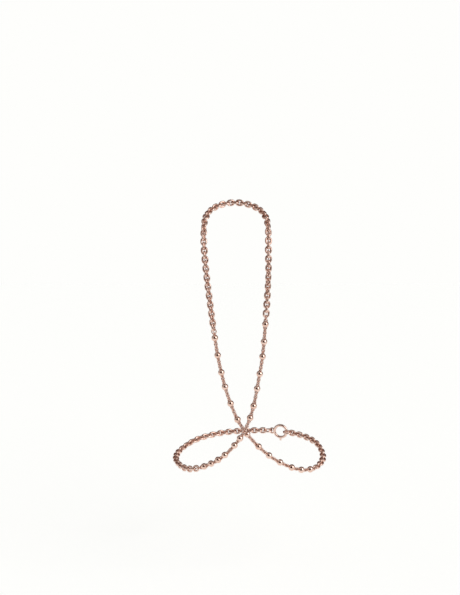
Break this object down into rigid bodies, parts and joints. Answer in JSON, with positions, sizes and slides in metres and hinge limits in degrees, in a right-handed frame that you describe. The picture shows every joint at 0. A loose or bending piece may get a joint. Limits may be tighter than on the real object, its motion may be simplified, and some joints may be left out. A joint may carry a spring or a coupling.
{
  "type": "hand chain bracelet",
  "caption": "Closed metal chain that loops round a finger, crosses itself above the wrist, and closes round the wrist with a hidden clasp.",
  "frame": {"origin": "middle of the wrist loop, on the middle line of the wrist that it is worn on", "axes": "+Z from the wrist loop up to the finger loop, -Y out of the side on which the strands cross, X across the wrist"},
  "size_m": [0.0614, 0.0493, 0.1052],
  "materials": {
    "rose_gold": "polished rose gold plate"
  },
  "bodies": {
    "root": {"finger_chain": "rose_gold", "beaded_strand_under": "rose_gold", "beaded_strand_over": "rose_gold", "wrist_chain_right": "rose_gold", "wrist_chain_left": "rose_gold", "jump_ring_right": "rose_gold", "jump_ring_left": "rose_gold", "clasp": "rose_gold"}
  },
  "joints": []
}
